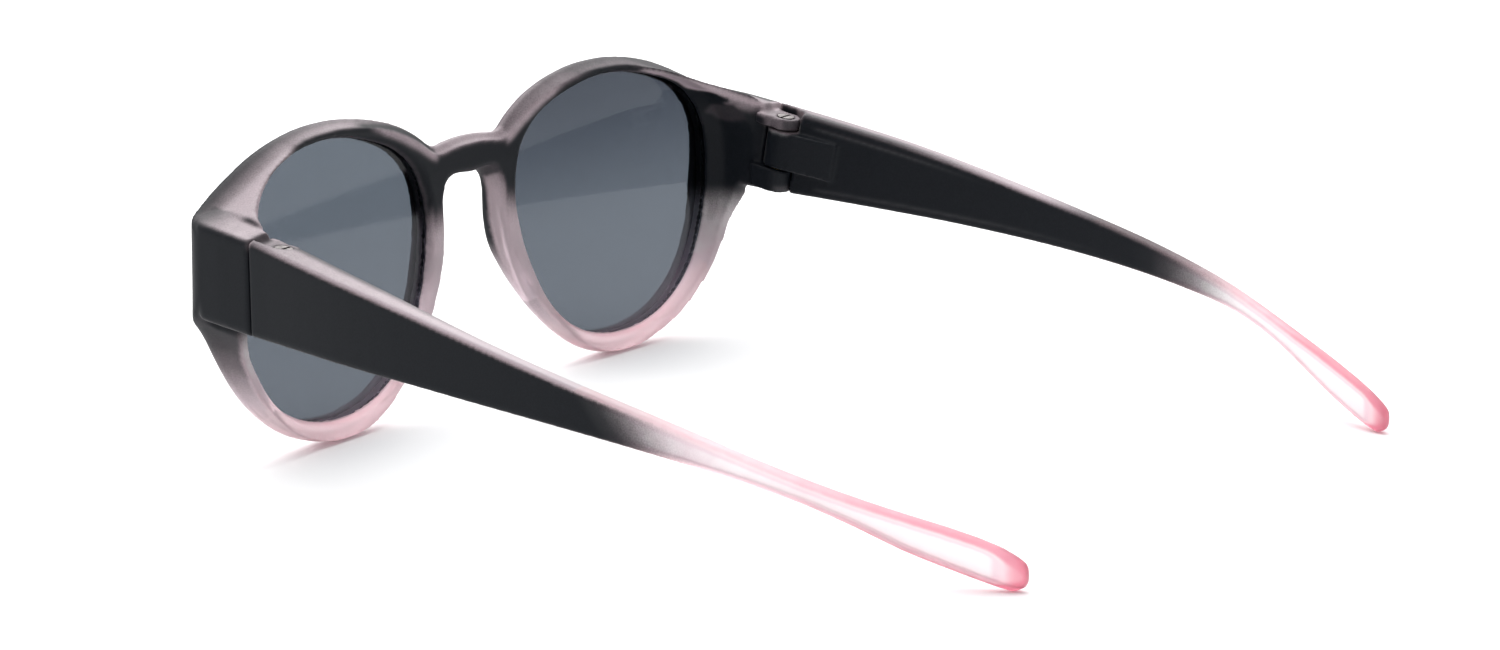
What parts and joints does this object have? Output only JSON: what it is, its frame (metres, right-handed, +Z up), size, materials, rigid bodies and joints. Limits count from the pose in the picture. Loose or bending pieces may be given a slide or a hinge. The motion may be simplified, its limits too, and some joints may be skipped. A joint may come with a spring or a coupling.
{
  "type": "fitover sunglasses",
  "caption": "Fitover sunglasses: round tinted lenses in a deep moulded front with a high nose arch, and long bowed arms that fold on screw hinges.",
  "frame": {"origin": "middle of the footprint of the open glasses, on the surface they stand on", "axes": "+X to the wearer's left, +Y backwards along the arms, +Z up"},
  "size_m": [0.1524, 0.1476, 0.0513],
  "materials": {
    "frame_plastic": "frosted pink translucent plastic, sprayed matte black with soft faded edges",
    "lens_tint": "smoke grey tint, polished, see-through",
    "screw_steel": "bright steel",
    "insert_brass": "turned brass"
  },
  "bodies": {
    "front": {"frame_front": "frame_plastic", "lens_left": "lens_tint", "lens_right": "lens_tint", "hinge_screw_left": "screw_steel", "hinge_screw_right": "screw_steel", "hinge_insert_left": "insert_brass", "hinge_insert_right": "insert_brass"},
    "arm_left": {"temple_left": "frame_plastic"},
    "arm_right": {"temple_right": "frame_plastic"}
  },
  "joints": [
    {"name": "hinge_left", "type": "hinge", "parent": "front", "child": "arm_left", "pos_m": [0.0685, -0.05319, 0.03215], "axis": [0, 0.1853, 0.9827], "range_deg": [0, 87]},
    {"name": "hinge_right", "type": "hinge", "parent": "front", "child": "arm_right", "pos_m": [-0.0685, -0.05319, 0.03215], "axis": [0, -0.1853, -0.9827], "range_deg": [0, 80]}
  ]
}
